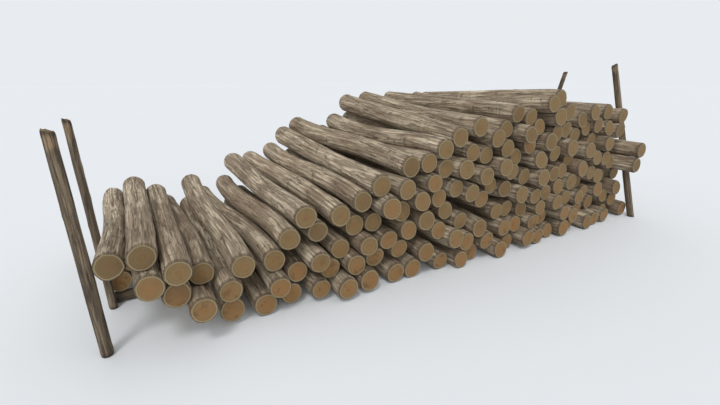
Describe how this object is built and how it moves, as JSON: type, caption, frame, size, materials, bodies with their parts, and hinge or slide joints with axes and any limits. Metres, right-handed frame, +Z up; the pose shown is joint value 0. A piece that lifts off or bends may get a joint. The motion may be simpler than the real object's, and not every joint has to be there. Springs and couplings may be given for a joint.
{
  "type": "stack of logs",
  "caption": "Long stack of sawn round logs with bark, laid side by side in uneven rows between upright stakes at both ends.",
  "frame": {"origin": "on the ground, under the middle of the whole stack's box", "axes": "+X along the stack from its low end to its high end, +Y along the logs from the viewed sawn ends to the back, +Z up"},
  "size_m": [8.2967, 3.3802, 2.6192],
  "materials": {
    "log": "rough bark with sawn ends",
    "stake": "weathered rough pole"
  },
  "bodies": {
    "root": {"bearer": "stake", "bottom_row_bay_1": "log", "bottom_row_bay_2": "log", "bottom_row_bay_3": "log", "bottom_row_bay_4": "log", "course_2_bay_1": "log", "course_2_bay_2": "log", "course_2_bay_3": "log", "course_2_bay_4": "log", "course_3_bay_1": "log", "course_3_bay_2": "log", "course_3_bay_3": "log", "course_3_bay_4": "log", "course_4_bay_1": "log", "course_4_bay_2": "log", "course_4_bay_3": "log", "course_4_bay_4": "log", "course_5_bay_2": "log", "course_5_bay_3": "log", "course_5_bay_4": "log", "course_6_bay_2": "log", "course_6_bay_3": "log", "course_6_bay_4": "log", "crest_log_01": "log", "crest_log_02": "log", "crest_log_03": "log", "crest_log_04": "log", "crest_log_05": "log", "crest_log_06": "log", "crest_log_07": "log", "crest_log_08": "log", "crest_log_09": "log", "crest_log_10": "log", "crest_log_11": "log", "crest_log_12": "log", "crest_log_13": "log", "crest_log_14": "log", "crest_log_15": "log", "crest_log_16": "log", "crest_log_17": "log", "left_back_stake": "stake", "left_end_log_01": "log", "left_end_log_02": "log", "left_end_log_03": "log", "left_end_log_04": "log", "left_end_log_05": "log", "left_end_log_06": "log", "left_end_log_07": "log", "left_end_log_08": "log", "left_front_stake": "stake", "right_back_stake": "stake", "right_end_log_01": "log", "right_end_log_02": "log", "right_front_stake": "stake", "short_logs": "log"}
  },
  "joints": []
}
